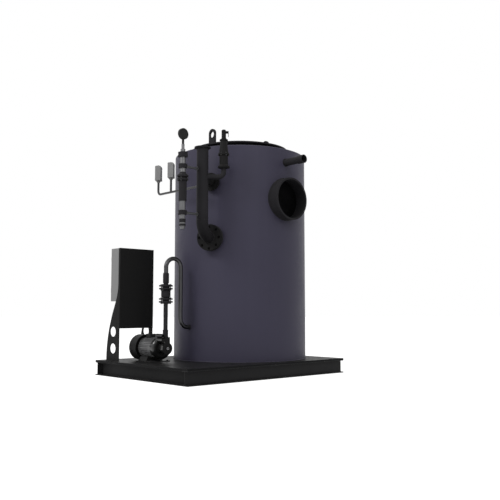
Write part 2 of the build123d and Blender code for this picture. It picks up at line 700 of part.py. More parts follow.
def make_feed_line():
    """Coupling, upright pipe, check valve between flange pairs, union and the loop into the shell."""
    x, y = pump_x, feed_y
    coupling_wall = coupling_radius - feed_radius + feed_wall
    nodes["feed_coupling"] = tube(coupling_radius, coupling_wall, coupling_low_z, coupling_top_z, x, y)
    pipe = tube(feed_radius, feed_wall, coupling_top_z, low_flanges_z, x, y)
    flange_bore = solid_cylinder(feed_radius - feed_wall, low_flanges_z, high_pair_top_z, x, y)
    low_flange_top = low_flanges_z + feed_flange_thick
    pipe += solid_cylinder(feed_flange_radius, low_flanges_z, low_flange_top, x, y) - flange_bore
    nodes["feed_pipe"] = pipe
    top_flange_low = high_flanges_z + feed_flange_pitch
    body_high = check_valve_low_z + check_valve_height
    body = solid_cylinder(check_valve_radius, check_valve_low_z, body_high, x, y)
    body += solid_cylinder(valve_ring_radius, low_flange_top, top_flange_low, x, y)
    for low in (low_flange_top + feed_flange_gap, high_flanges_z):
        body += solid_cylinder(feed_flange_radius, low, low + feed_flange_thick, x, y)
    nodes["check_valve"] = body - flange_bore
    top_flange = solid_cylinder(feed_flange_radius, top_flange_low, high_pair_top_z, x, y)
    union_neck = solid_cylinder(union_end_radius, high_pair_top_z, union_high_z, x, y)
    union_nut = solid_cylinder(union_radius, union_low_z, union_high_z - union_end_height, x, y)
    union_bore = solid_cylinder(feed_radius - feed_wall, top_flange_low, union_high_z, x, y)
    nodes["feed_union"] = top_flange + union_neck + union_nut - union_bore
    radius = feed_loop_radius
    bend_z = feed_loop_top_z - radius
    points = [
        Vector(x, y, union_high_z), Vector(x, y, bend_z), Vector(x + 2 * radius, y, bend_z),
        Vector(x + 2 * radius, y, feed_entry_z + feed_entry_bend),
        Vector(x + 2 * radius + feed_entry_bend, y, feed_entry_z),
        Vector(shell_x, y, feed_entry_z),
    ]
    path = Wire([
        Line(points[0], points[1]),
        TangentArc(points[1], points[2], tangent=(0, 0, 1)),
        Line(points[2], points[3]),
        TangentArc(points[3], points[4], tangent=(0, 0, -1)),
        Line(points[4], points[5]),
    ])
    nodes["feed_loop"] = pipe_along(path, feed_radius, feed_wall) - vessel_core


make_skid()
make_shell()
make_lid()
make_outlets()
make_riser()
make_safety_valve()
make_water_column()
make_pressure_switches()
make_panel()
make_pump()
make_pump_fittings()
make_feed_line()

os.makedirs("parts", exist_ok=True)
for name, shape in nodes.items():
    export_step(shape, "parts/" + name + ".step")
print(len(nodes), "nodes written")
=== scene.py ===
"""Dresses the industrial boiler: edges, welds, bolts, painted and bare metal, floor, light and camera."""

import json
import math

import bmesh
import bpy
from bpy.props import FloatProperty, FloatVectorProperty, IntProperty, PointerProperty
from bpy.types import Operator, Panel, PropertyGroup
from mathutils import Matrix, Vector


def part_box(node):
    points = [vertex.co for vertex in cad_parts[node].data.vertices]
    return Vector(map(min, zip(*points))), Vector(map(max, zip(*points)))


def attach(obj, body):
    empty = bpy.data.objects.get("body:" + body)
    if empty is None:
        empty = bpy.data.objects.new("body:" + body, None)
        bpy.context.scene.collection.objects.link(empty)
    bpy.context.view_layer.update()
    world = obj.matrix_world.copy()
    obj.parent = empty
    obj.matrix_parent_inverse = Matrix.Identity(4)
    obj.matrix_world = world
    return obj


bl_info = {
    "name": "Industrial Boiler Dressing",
    "version": (1, 0, 0),
    "blender": (4, 5, 0),
    "location": "View3D > Sidebar > Boiler",
    "description": "Adds welds, fasteners, rounded edges and paint to the industrial boiler",
    "category": "Object",
}

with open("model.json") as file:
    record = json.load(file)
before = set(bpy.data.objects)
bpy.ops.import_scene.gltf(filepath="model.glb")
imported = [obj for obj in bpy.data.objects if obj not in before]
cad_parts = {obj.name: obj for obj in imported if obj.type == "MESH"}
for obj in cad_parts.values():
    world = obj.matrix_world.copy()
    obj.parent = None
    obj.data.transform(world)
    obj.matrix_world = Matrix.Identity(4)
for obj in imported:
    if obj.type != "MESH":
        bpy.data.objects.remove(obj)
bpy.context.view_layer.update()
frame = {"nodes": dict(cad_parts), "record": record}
nodes = frame["nodes"]


# Places read from the frame

def middle(node):
    """The centre of a CAD node's box, in metres."""
    low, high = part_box(node)
    return (low + high) / 2


def span(node):
    """The size of a CAD node's box, in metres."""
    low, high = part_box(node)
    return high - low


def over(place, z):
    """The point at a height over or under a place."""
    return Vector((place.x, place.y, z))


SHELL = middle("jacket_shell")
SHELL_RADIUS = span("jacket_shell").x / 2
DECK_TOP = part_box("deck_plate")[1].z
RISER = middle("riser_lip")
RISER_RADIUS = 0.05715
FLUE_BORE = 0.197
# How far the middle of a weld bead stands off the face that it joins
PROUD = 0.001
COLUMN = middle("gauge_nipple")
VALVE = middle("safety_valve_cap")
PUMP = middle("pump_cowl")
FEED = middle("feed_coupling")
RISER_LINE = (over(RISER, 0) - over(SHELL, 0)).normalized()
UP = Vector((0, 0, 1))
RIGHT = Vector((1, 0, 0))
FRONT = Vector((0, -1, 0))
BACK = Vector((0, 1, 0))


# Mesh tools

def placed(origin, axis, turn=0.0):
    """A matrix that puts local Z along an axis at a point, with a turn about it."""
    spin = Vector(axis).normalized().to_track_quat("Z", "Y").to_matrix().to_4x4()
    return Matrix.Translation(origin) @ spin @ Matrix.Rotation(turn, 4, "Z")


def upright(place, z):
    """A matrix at a height over or under a place, with local Z up."""
    return Matrix.Translation((place.x, place.y, z))


def lifted(matrix, z):
    """A matrix moved along its local Z."""
    return matrix @ Matrix.Translation((0, 0, z))


def circle(radius, count, z=0.0, start=0.0):
    """Points round local Z."""
    angles = [start + 2 * math.pi * i / count for i in range(count)]
    return [Vector((radius * math.cos(a), radius * math.sin(a), z)) for a in angles]


def skin(bm, rings, closed=False):
    """Joins each ring of vertices to the next. A ring of one vertex is a tip."""
    for low, high in zip(rings, rings[1:] + rings[:1] if closed else rings[1:]):
        count = max(len(low), len(high))
        for i in range(count):
            j = (i + 1) % count
            if len(low) == 1:
                bm.faces.new((low[0], high[j], high[i]))
            elif len(high) == 1:
                bm.faces.new((low[i], low[j], high[0]))
            else:
                bm.faces.new((low[i], low[j], high[j], high[i]))


def softened(points, closed=False):
    """Rounds the corners of a profile. Each point is (r, z) or (r, z, rounding)."""
    out = []
    count = len(points)
    for i, point in enumerate(points):
        here = Vector(point[:2])
        rounding = point[2] if len(point) > 2 else 0.0
        at_end = not closed and i in (0, count - 1)
        if rounding <= 0 or at_end:
            out.append(here)
            continue
        before = Vector(points[i - 1][:2]) - here
        after = Vector(points[(i + 1) % count][:2]) - here
        reach = min(rounding, 0.48 * before.length, 0.48 * after.length)
        start = here + before.normalized() * reach
        end = here + after.normalized() * reach
        for step in range(4):
            t = step / 3
            out.append(start * (1 - t) ** 2 + here * 2 * t * (1 - t) + end * t ** 2)
    return out


def turned(bm, profile, matrix, segments=64, closed=False):
    """Adds a lathe-turned form about local Z. An open profile ends on the axis."""
    rings = []
    for point in softened(profile, closed):
        at_axis = point.x < 1e-7
        spots = [Vector((0, 0, point.y))] if at_axis else circle(point.x, segments, point.y)
        rings.append([bm.verts.new(matrix @ spot) for spot in spots])
    skin(bm, rings, closed)


def disc(bm, matrix, radius, low, high, top=0.0, foot=0.0, segments=64):
    """Adds a round plate or bar between two heights, with its top and foot edges rounded."""
    turned(bm, [(0, low), (radius, low, foot), (radius, high, top), (0, high)], matrix, segments)


def ring_form(bm, matrix, inner, outer, low, high, rounding=0.0008):
    """Adds a square-sided ring about local Z."""
    e = rounding
    turned(bm, [(inner, low, e), (outer, low, e), (outer, high, e), (inner, high, e)], matrix, closed=True)


def rod(bm, start, end, radius, rounding=0.0006, segments=24):
    """Adds a round bar with softened ends between two points."""
    start = Vector(start)
    length = (Vector(end) - start).length
    disc(bm, placed(start, Vector(end) - start), radius, 0, length, rounding, rounding, segments)


def block_form(bm, low, high, matrix=Matrix(), rounding=0.001):
    """Adds a box with rounded edges, in a local frame."""
    size = Vector(high) - Vector(low)
    shape = Matrix.Translation((Vector(high) + Vector(low)) / 2) @ Matrix.Diagonal((*size, 1.0))
    corners = set(bmesh.ops.create_cube(bm, size=1.0, matrix=matrix @ shape)["verts"])
    bmesh.ops.bevel(
        bm, geom=[e for e in bm.edges if e.verts[0] in corners], offset=rounding, offset_type="OFFSET",
        segments=2, profile=0.5, affect="EDGES", clamp_overlap=True,
    )


def along(bm, points, radius_at, reference, sides=8):
    """Sweeps a round section along a closed line of points. radius_at(i) gives each ring's radius."""
    rings = []
    for i, point in enumerate(points):
        tangent = (points[(i + 1) % len(points)] - points[i - 1]).normalized()
        side = tangent.cross(reference)
        if side.length < 1e-4:
            side = tangent.cross(RIGHT)
        side.normalize()
        up = side.cross(tangent)
        section = circle(radius_at(i), sides)
        rings.append([bm.verts.new(point + side * spot.x + up * spot.y) for spot in section])
    skin(bm, rings, closed=True)


def wire_ring(bm, matrix, radius, count, z, thick):
    """Adds a ring of round wire about local Z."""
    along(bm, [matrix @ spot for spot in circle(radius, count, z)], lambda i: thick, FRONT)


def weld_bead(bm, points, radius, reference=UP, ripple=0.14):
    """Adds a weld bead: a rippled ridge along points, with small uneven places."""
    def size(i):
        wave = math.sin(i * math.pi * 0.5) * ripple
        drift = 0.06 * math.sin(i * 0.137) + 0.05 * math.sin(i * 0.041 + 1.3)
        return radius * (1 + wave + drift)
    along(bm, points, size, reference)


def bead_count(radius, pitch):
    """How many ripples about one pitch apart go round a circle."""
    return max(24, int(2 * math.pi * radius / pitch))


def weld_ring(bm, centre, axis, radius, pitch, size):
    """Adds a weld bead round a circle."""
    matrix = placed(centre, axis)
    weld_bead(bm, [matrix @ spot for spot in circle(radius, bead_count(radius, pitch))], size, axis)


def weld_saddle(bm, direction, height, radius, pitch, size, centre=SHELL, body=SHELL_RADIUS, offset=0.0):
    """Adds a weld bead where a level pipe that leaves an upright round body meets its side."""
    across = Vector((-direction.y, direction.x, 0))
    points = []
    for spot in circle(radius, bead_count(radius, pitch)):
        side = offset + spot.x
        reach = math.sqrt(body ** 2 - side ** 2)
        points.append(over(centre, height + spot.y) + direction * reach + across * side)
    weld_bead(bm, points, size, direction)


def weld_foot(bm, node, z, pitch, size):
    """Adds a weld bead round the foot of an upright plate."""
    low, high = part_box(node)
    outline = ((low.x, low.y), (high.x, low.y), (high.x, high.y), (low.x, high.y))
    corners = [Vector((x, y, z)) for x, y in outline]
    points = []
    for start, end in zip(corners, corners[1:] + corners[:1]):
        steps = max(3, int((end - start).length / pitch))
        points += [start.lerp(end, i / steps) for i in range(steps)]
    weld_bead(bm, points, size)


def screw(bm, matrix, size):
    """Adds a low round screw head with a sunk middle."""
    profile = (
        (0.55, -0.05), (0.55, 0.15, 0.12), (0.42, 0.42, 0.12), (0.3, 0.42, 0.12), (0.22, 0.12), (0, 0.12),
    )
    turned(bm, [[share * size for share in point] for point in profile], matrix, segments=18)


def hex_form(bm, across, height, matrix, chamfer=0.10):
    """Adds a hexagonal nut or bolt head standing on local Z."""
    outer = across / math.sqrt(3)
    inner = across / 2 * 0.97
    shoulder = height * (1 - chamfer * 1.6)
    rings = []
    for radius, z in ((inner, 0.0), (outer, height * chamfer), (outer, shoulder), (inner, height)):
        corner = circle(radius, 12, z)
        flat = circle(min(radius, across / 2), 12, z)
        rings.append([bm.verts.new(matrix @ (flat if i % 2 else corner)[i]) for i in range(12)])
    skin(bm, rings)
    bm.faces.new(rings[0][::-1])
    bm.faces.new(rings[-1])


def nut_and_washer(bm, matrix, size, height):
    """Adds a washer and a hexagon on it, for a bolt of a size."""
    thick = size * 0.16
    disc(bm, matrix, size * 1.05, 0, thick, thick / 4, thick / 4, 20)
    hex_form(bm, size * 1.5, height, lifted(matrix, thick))


def bolt(bm, matrix, size, grip=None):
    """Adds a bolt head with its washer and, behind a grip, the nut, its washer and the bolt's tip."""
    nut_and_washer(bm, matrix, size, size * 0.64)
    if grip is not None:
        back = lifted(matrix, -grip) @ Matrix.Rotation(math.pi, 4, "X")
        nut_and_washer(bm, back, size, size * 0.8)
        disc(bm, lifted(back, size * 0.96), size / 2, size * -0.08, size * 0.22, size * 0.08, segments=16)


def bolt_circle(bm, centre, axis, radius, count, size, grip, start=0.0):
    """Adds bolts round a flange. The first face of the grip is at the centre given."""
    outward = Matrix.Translation((radius, 0, 0))
    for i in range(count):
        spot = placed(centre, axis, start + 2 * math.pi * i / count) @ outward
        bolt(bm, spot @ Matrix.Rotation(i * 0.7, 4, "Z"), size, grip)


def studs(bm, centre, radius, size, grip, start):
    """Adds four upright bolts through a pair of flanges, with the shanks that show between them."""
    bolt_circle(bm, centre, UP, radius, 4, size, grip, start)
    for spot in circle(radius, 4, -grip, start):
        rod(bm, centre + spot, centre + spot + UP * grip, size / 2, segments=16)


def gland(bm, spot, side, reach):
    """Adds a hexagon and a collar where a wire would enter."""
    height = 0.006
    hex_form(bm, across=0.024, height=height, matrix=placed(spot, side))
    rod(bm, spot + side * height, spot + side * reach, radius=0.0095)


MATERIALS = {}


def piece(name, bm, finish, sharp=35.0):
    """Makes an object from a mesh, gives it its finish and fixes it to the frame."""
    bmesh.ops.recalc_face_normals(bm, faces=bm.faces)
    mesh = bpy.data.meshes.new(name)
    bm.to_mesh(mesh)
    bm.free()
    mesh.materials.append(MATERIALS[finish])
    for polygon in mesh.polygons:
        polygon.use_smooth = True
    mesh.set_sharp_from_angle(angle=math.radians(sharp))
    obj = bpy.data.objects.new(name, mesh)
    bpy.context.scene.collection.objects.link(obj)
    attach(obj, "root")


def weld_piece(name, bm, finish="weld"):
    """Makes an object from weld beads."""
    piece(name, bm, finish, sharp=60)


def finish_node(node, material, rounding):
    """Gives a CAD node its material and small rounded edges."""
    obj = nodes[node]
    for i in range(len(obj.material_slots)):
        obj.material_slots[i].material = material
    weld = obj.modifiers.new("weld", "WELD")
    weld.merge_threshold = 0.000002
    bevel = obj.modifiers.new("rounded edges", "BEVEL")
    bevel.width = rounding
    bevel.segments = 2
    bevel.limit_method = "ANGLE"
    bevel.angle_limit = math.radians(32)
    bevel.use_clamp_overlap = True
    bevel.loop_slide = False
    weighted = obj.modifiers.new("shading", "WEIGHTED_NORMAL")
    weighted.mode = "FACE_AREA"
    weighted.keep_sharp = False
    weighted.weight = 60


# Shader nodes

def feed(tree, socket, value):
    """Links an output to a socket, or writes a value on it."""
    if isinstance(value, bpy.types.NodeSocket):
        tree.links.new(value, socket)
    else:
        socket.default_value = value


def put_node(tree, kind, *inputs, **settings):
    """A node with its settings. Its inputs take values or outputs in order. None leaves one as it is."""
    node = tree.nodes.new("ShaderNode" + kind)
    for label, value in settings.items():
        setattr(node, label, value)
    for socket, value in zip(node.inputs, inputs):
        if value is not None:
            feed(tree, socket, value)
    return node


def total(tree, start, *terms, clamp=False):
    """A start plus each value times its weight."""
    for value, weight in terms:
        node = put_node(tree, "Math", value, weight, start, operation="MULTIPLY_ADD")
        start = node.outputs[0]
    node.use_clamp = clamp
    return start


def times(tree, a, b):
    """Two values multiplied and kept between 0 and 1."""
    return total(tree, 0.0, (a, b), clamp=True)


def ramp(tree, value, low, high, to_low=0.0, to_high=1.0):
    """A clamped map range."""
    return put_node(tree, "MapRange", value, low, high, to_low, to_high, clamp=True).outputs[0]


def noise(tree, vector, scale, detail=4.0, rough=0.55):
    """A noise texture's value."""
    return put_node(tree, "TexNoise", vector, None, scale, detail, rough).outputs["Fac"]


def place_vector(tree, scale=(1, 1, 1)):
    """The object's own coordinates, stretched."""
    own = put_node(tree, "TexCoord").outputs["Object"]
    return put_node(tree, "Mapping", own, None, None, scale).outputs["Vector"]


def along_axis(tree, vector, axis):
    """One part of a vector."""
    return put_node(tree, "SeparateXYZ", vector).outputs[axis]


def vector_value(tree, operation, first, second=None):
    """A vector node's number, for a dot product or a length."""
    return put_node(tree, "VectorMath", first, second, operation=operation).outputs["Value"]


def surface_normal(tree):
    """The surface's own direction."""
    return put_node(tree, "NewGeometry").outputs["Normal"]


# Shader node groups

def new_group(name, **inputs):
    """A shader node group with named number inputs."""
    group = bpy.data.node_groups.new(name, "ShaderNodeTree")
    for label, value in inputs.items():
        socket = group.interface.new_socket(
            name=label.replace("_", " "), in_out="INPUT", socket_type="NodeSocketFloat"
        )
        socket.default_value = value
    return group, group.nodes.new("NodeGroupInput").outputs


def close_group(group, **outputs):
    """Gives a group its named outputs."""
    for label in outputs:
        group.interface.new_socket(name=label, in_out="OUTPUT", socket_type="NodeSocketFloat")
    end = group.nodes.new("NodeGroupOutput")
    for label, value in outputs.items():
        feed(group, end.inputs[label], value)
    return group


def make_edge_wear_group():
    """Where paint is rubbed off: narrow, broken bands along the edges."""
    group, given = new_group("Edge wear", Width=0.004, Amount=0.5, Break_Up=40.0)
    bevelled = put_node(group, "Bevel", given["Width"], samples=4).outputs["Normal"]
    edge = ramp(group, vector_value(group, "DOT_PRODUCT", bevelled, surface_normal(group)), 0.995, 0.88)
    fine = noise(group, place_vector(group), given["Break Up"], 5.0, 0.65)
    coarse = noise(group, place_vector(group), 6.0, 3.0, 0.5)
    uneven = total(group, 0.0, (fine, 0.7), (coarse, 0.5))
    level = total(group, 1.05, (given["Amount"], -1.0))
    broken = ramp(group, uneven, level, total(group, 0.12, (level, 1.0)))
    return close_group(group, Mask=times(group, edge, broken))


def make_paint_group():
    """Brushed or sprayed paint: slow tone drift, fine orange peel and faint scuffs."""
    group, given = new_group("Paint film", Drift_Scale=2.5, Peel_Scale=420.0, Drift=0.18, Rough=0.5)
    plain = place_vector(group)
    drift = noise(group, plain, given["Drift Scale"], 5.0, 0.6)
    runs = noise(group, place_vector(group, (9, 9, 0.7)), 1.6, 4.0, 0.6)
    peel = noise(group, plain, given["Peel Scale"], 2.0, 0.5)
    mottle = noise(group, plain, 36.0, 4.0, 0.6)
    swing = total(group, -2.5, (drift, 2.4), (runs, 1.6), (mottle, 1.0))
    return close_group(
        group, Tone=total(group, 1.0, (swing, given["Drift"])),
        Roughness=total(group, -0.28, (given["Rough"], 1.0), (drift, 0.34), (mottle, 0.22), clamp=True),
        Height=total(group, 0.0, (peel, 0.6), (mottle, 0.8)),
    )


def make_dust_and_shade_group():
    """Grey dust on upward faces, and a mask that darkens corners: dirt with painted shade."""
    group, given = new_group("Dust and corner shade", Amount=0.3, Corner=0.05)
    upward = ramp(group, along_axis(group, surface_normal(group), "Z"), 0.2, 0.95)
    patches = noise(group, place_vector(group), 7.0, 6.0, 0.65)
    fine = noise(group, place_vector(group), 90.0, 3.0, 0.6)
    spread = ramp(group, total(group, 0.0, (patches, 0.75), (fine, 0.25)), 0.36, 0.66)
    # Ambient occlusion darkens corners and recesses: painted shade, broken into patches of dirt
    shade = put_node(group, "AmbientOcclusion", None, given["Corner"], samples=8).outputs["AO"]
    return close_group(
        group, Mask=times(group, times(group, upward, spread), given["Amount"]),
        Grime=times(group, ramp(group, shade, 0.75, 0.3), ramp(group, patches, 0.3, 0.62)),
    )


def make_streak_group():
    """Fine drawn or turned lines, along or across the metal, with dull patches."""
    group, given = new_group("Drawn lines", Fine=900.0, Rough=0.35, Spread=0.2)
    lines = noise(group, place_vector(group, (1, 1, 0.02)), given["Fine"], 3.0, 0.6)
    patches = noise(group, place_vector(group), 14.0, 5.0, 0.6)
    dull = total(group, -0.4, (patches, 1.0))
    return close_group(
        group, Tone=total(group, 0.57, (lines, 0.2), (patches, 0.5)),
        Roughness=total(group, given["Rough"], (dull, given["Spread"]), (lines, 0.12), clamp=True),
        Height=lines,
    )


def make_cast_group():
    """Sand-cast skin: lumpy grain with small pits."""
    group, given = new_group("Cast skin", Grain=260.0, Rough=0.6)
    grain = noise(group, place_vector(group), given["Grain"], 4.0, 0.7)
    lumps = noise(group, place_vector(group), 42.0, 3.0, 0.5)
    pits = put_node(group, "TexVoronoi", place_vector(group), None, 150.0).outputs["Distance"]
    return close_group(
        group, Tone=total(group, 0.72, (grain, 0.3), (lumps, 0.26)),
        Roughness=total(group, -0.2, (given["Rough"], 1.0), (grain, 0.4), clamp=True),
        Height=total(group, 0.0, (grain, 0.6), (lumps, 0.7), (ramp(group, pits, 0.05, 0.22), 0.25)),
    )


GROUP_MAKERS = {
    "wear": make_edge_wear_group, "paint": make_paint_group, "dust": make_dust_and_shade_group,
    "streak": make_streak_group, "cast": make_cast_group,
}
GROUPS = {}


# Materials

def use_group(tree, group, **values):
    """Places a group in a material with its own values."""
    node = put_node(tree, "Group", node_tree=GROUPS[group])
    for label, value in values.items():
        node.inputs[label].default_value = value
    return node.outputs


def blend_colour(tree, mask, first, second, mode="MIX"):
    """Mixes two colours by a mask. A colour is written out or an output."""
    node = put_node(tree, "Mix", mask, data_type="RGBA", blend_type=mode)
    for i, shade in ((6, first), (7, second)):
        feed(tree, node.inputs[i], (*shade, 1.0) if isinstance(shade, tuple) else shade)
    return node.outputs[2]


def toned(tree, shade, tone):
    """A colour made lighter and darker by a value."""
    grey = put_node(tree, "CombineColor", tone, tone, tone).outputs[0]
    return blend_colour(tree, 1.0, shade, grey, "MULTIPLY")


def new_material(name, specular):
    """A new material with its node tree and shader."""
    material = bpy.data.materials.new(name)
    material.use_nodes = True
    shader = material.node_tree.nodes["Principled BSDF"]
    shader.inputs["Specular IOR Level"].default_value = specular
    return material, material.node_tree, shader


def set_shader(tree, shader, **values):
    """Feeds the shader's sockets."""
    for label, value in values.items():
        feed(tree, shader.inputs[label.replace("_", " ")], value)


def bumped(tree, height, strength, distance):
    """The surface's direction, made uneven by a height."""
    bump = put_node(tree, "Bump")
    set_shader(tree, bump, Strength=strength, Distance=distance, Height=height)
    return bump.outputs["Normal"]


def painted(name, shade, rough=0.5, specular=0.05, drift=0.16, wear=0.2, width=0.004,
            bare=(0.16, 0.155, 0.15), dust=0.04, bump=0.25, cast=False, corner_shade_dirt=(0.012, 0.011, 0.011)):
    """Painted steel or, with cast, painted cast iron: worn edges, dust, and corners darkened by dirt with
    painted shade.
    """
    material, tree, shader = new_material(name, specular)
    if cast:
        film = use_group(tree, "cast", Rough=rough)
    else:
        film = use_group(tree, "paint", Drift=drift, Rough=rough)
    worn = use_group(tree, "wear", Width=width, Amount=wear)["Mask"]
    dust_and_shade = use_group(tree, "dust", Amount=dust)
    base = toned(tree, tuple(shade), film["Tone"])
    # Corners darkened by the occlusion mask: painted shade mixed with dirt
    base = blend_colour(tree, times(tree, dust_and_shade["Grime"], 0.6), base, corner_shade_dirt)
    base = blend_colour(tree, dust_and_shade["Mask"], base, (0.19, 0.18, 0.165))
    set_shader(
        tree, shader, Base_Color=blend_colour(tree, worn, base, bare), Metallic=times(tree, worn, 0.7),
        Roughness=total(tree, film["Roughness"], (dust_and_shade["Mask"], 0.3), clamp=True),
        Normal=bumped(tree, total(tree, film["Height"], (worn, -0.4)), bump, 0.0012 if cast else 0.0006),
    )
    return material


def bare_metal(name, shade, rough=0.3, dust=0.1, bump=0.12):
    """Unpainted metal with drawn lines and dull patches, its corners darker and duller by dirt with painted
    shade.
    """
    material, tree, shader = new_material(name, 0.5)
    lines = use_group(tree, "streak", Rough=rough)
    dust_and_shade = use_group(tree, "dust", Amount=dust)
    base = toned(tree, tuple(shade), lines["Tone"])
    # Corners darker and duller by the occlusion mask: painted shade mixed with dirt
    base = blend_colour(tree, dust_and_shade["Grime"], base, (0.03, 0.027, 0.025))
    dull = total(tree, dust_and_shade["Mask"], (dust_and_shade["Grime"], 0.6), clamp=True)
    set_shader(
        tree, shader, Base_Color=blend_colour(tree, dust_and_shade["Mask"], base, (0.2, 0.19, 0.175)),
        Roughness=lines["Roughness"], Metallic=total(tree, 1.0, (dull, -1.0), clamp=True),
        Normal=bumped(tree, lines["Height"], bump, 0.0003),
    )
    return material


def shader_and_base(material):
    """A material's node tree, its shader and what feeds its colour."""
    tree = material.node_tree
    shader = tree.nodes["Principled BSDF"]
    return tree, shader, shader.inputs["Base Color"].links[0].from_socket


def soot_and_shade_inside(material, centre, radius, mouth):
    """Adds soot inside a round duct along Y, with painted shade that darkens it further past its mouth."""
    tree, shader, base = shader_and_base(material)
    axis = (centre.x, 0.0, centre.z)
    offset = put_node(tree, "VectorMath", place_vector(tree), axis, operation="SUBTRACT")
    level = put_node(tree, "VectorMath", offset.outputs["Vector"], (1.0, 0.0, 1.0), operation="MULTIPLY")
    distance = vector_value(tree, "LENGTH", level.outputs["Vector"])
    inside = ramp(tree, distance, radius + 0.001, radius - 0.0015)
    patch = ramp(tree, noise(tree, place_vector(tree), 9.0, 5.0, 0.6), 0.3, 0.7, 0.9, 1.0)
    # Further in, the near-black grows: painted shade of the recess
    recess_shade = ramp(tree, along_axis(tree, place_vector(tree), "Y"), mouth, mouth + 0.1, 0.4, 1.0)
    mask = times(tree, times(tree, inside, patch), recess_shade)
    set_shader(tree, shader, Base_Color=blend_colour(tree, mask, base, (0.0005, 0.0005, 0.0006)))
    return material


def shaded_towards_foot(material, low, high, darkest):
    """Darkens a paint towards its foot: painted shade for the dimmer light low down."""
    tree, shader, base = shader_and_base(material)
    level = ramp(tree, along_axis(tree, place_vector(tree), "Z"), low, high, darkest, 1.0)
    set_shader(tree, shader, Base_Color=toned(tree, base, level))
    return material


def lacquered(material, facing):
    """Adds clear lacquer, except on the flat faces that look along one direction."""
    tree, shader, _ = shader_and_base(material)
    toward = vector_value(tree, "DOT_PRODUCT", surface_normal(tree), tuple(facing))
    set_shader(tree, shader, Coat_Weight=ramp(tree, toward, 0.55, 0.93, 1.0, 0.0), Coat_Roughness=0.16)
    return material


def make_materials(paints):
    """Every finish of the boiler."""
    pale = {"corner_shade_dirt": (0.08, 0.078, 0.075), "dust": 0.05}
    beam = {"drift": 0.2, "width": 0.006, "dust": 0.05}
    gap = {"drift": 0.15, "wear": 0.0, "dust": 0.0}
    flue = painted("Flue steel", paints.black, rough=0.7, specular=0.03)
    foot = middle("riser_flange").z
    shaded_rise = 0.26
    return {
        "jacket": painted(
            "Jacket paint", paints.jacket, rough=0.44, specular=0.12, drift=0.04, wear=0.08, dust=0.06,
            bump=0.1,
        ),
        "jacket weld": painted(
            "Jacket weld", paints.jacket, rough=0.6, specular=0.25, drift=0.2, wear=0.1, dust=0.1
        ),
        "black": painted("Black paint", paints.black, specular=0.03),
        # Painted shade: the riser's paint darkens towards its foot
        "riser": shaded_towards_foot(painted("Riser paint", paints.black, specular=0.03), foot, foot + shaded_rise, 0.55),
        "flue": soot_and_shade_inside(flue, middle("flue_collar"), FLUE_BORE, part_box("flue_collar")[0].y),
        "weld": painted("Painted weld", paints.black, specular=0.06, drift=0.2, wear=0.1),
        "skid": painted("Skid paint", paints.skid, rough=0.42, specular=0.09, wear=0.35, **beam),
        # A darker copy of the skid paint for the end beams: painted shade
        "end beam shade": painted("Shaded end beam paint", paints.shaded_end_beams, specular=0.06, wear=0.3, **beam),
        "deck": painted("Deck paint", paints.deck, rough=0.38, specular=0.03, wear=0.35, **beam),
        "vessel": painted("Sooty steel", paints.vessel, rough=0.8, specular=0.2, cast=True, dust=0.1),
        "enclosure": painted(
            "Grey powder coat", paints.enclosure, rough=0.55, specular=0.2, drift=0.05,
            bare=(0.45, 0.44, 0.42), **pale
        ),
        "switch": painted(
            "Switch case", paints.switch, specular=0.25, drift=0.04, wear=0.1, bare=(0.3, 0.29, 0.28), **pale
        ),
        "panel": painted("Panel powder coat", paints.panel, rough=0.55, drift=0.08, dust=0.03),
        "motor": painted(
            "Motor paint", paints.motor, rough=0.24, specular=0.7, drift=0.06, wear=0.15, dust=0.02
        ),
        "cowl": painted("Cowl paint", paints.cowl, rough=0.45, drift=0.08),
        "pump": lacquered(painted("Pump casting", paints.pump, rough=0.3, specular=0.1, cast=True), FRONT),
        "valve": painted("Valve casting", paints.valve, specular=0.04, cast=True),
        "gauge": painted("Gauge case", paints.gauge, rough=0.45, specular=0.06, drift=0.08, wear=0.15),
        "dial": painted("Gauge dial", paints.dial, specular=0.06, drift=0.1, wear=0.0, dust=0.25),
        "mark": painted("Dial marks", paints.mark, rough=0.6, specular=0.1, **gap),
        # Near-black for painted shade in gaps, and the riser's black flange bolts
        "dark": painted("Gap shade and black bolts", (0.002, 0.002, 0.002), rough=0.8, specular=0.04, **gap),
        "bright": bare_metal("Drawn tube", paints.bright, rough=0.32),
        "fastener": bare_metal("Fasteners", paints.fastener, rough=0.42, bump=0.1),
        "dark tube": bare_metal("Dark tube", paints.dark_tube, rough=0.28),
        "feed tube": bare_metal("Feed pipe metal", paints.feed_tube, rough=0.4),
        "polished": bare_metal("Turned steel", paints.polished, dust=0.02),
        "suction": bare_metal("Suction stub", paints.dark_tube, dust=0.02),
    }


FINISH_OF_SLOT = {
    "jacket": "jacket", "black_paint": "black", "skid_paint": "skid", "vessel_steel": "vessel",
    "enclosure_paint": "enclosure", "switch_case": "switch", "bright_steel": "bright", "pump_iron": "pump",
    "motor_paint": "motor", "valve_iron": "valve", "gauge_black": "gauge", "panel_paint": "panel",
}
FINISH_OF_NODE = {
    "column_links": "dark tube", "sensor_tube": "dark tube", "feed_loop": "dark tube", "flue_collar": "flue",
    "pump_suction": "suction", "pump_cowl": "cowl", "pump_terminal_box": "cowl", "pump_foot": "cowl",
    "feed_pipe": "feed tube", "check_valve": "black", "feed_union": "black", "feed_coupling": "black",
    "column_chamber": "black", "column_collars": "black", "riser_flange": "valve", "riser_pipe": "riser",
    "deck_plate": "deck", "upper_nozzle": "valve",
    # The end beams take the darker copy of the skid paint: painted shade
    "skid_left_beam": "end beam shade", "skid_right_beam": "end beam shade",
}


# Sizes and colours that a user may change

def colour(name, default, description):
    """A colour setting."""
    return FloatVectorProperty(
        name=name, description=description, default=default, size=3, min=0.0, max=1.0, subtype="COLOR"
    )


def number(name, default, description, unit="LENGTH"):
    """A setting of one number, a length in metres unless another unit is given."""
    return FloatProperty(name=name, description=description, default=default, unit=unit)


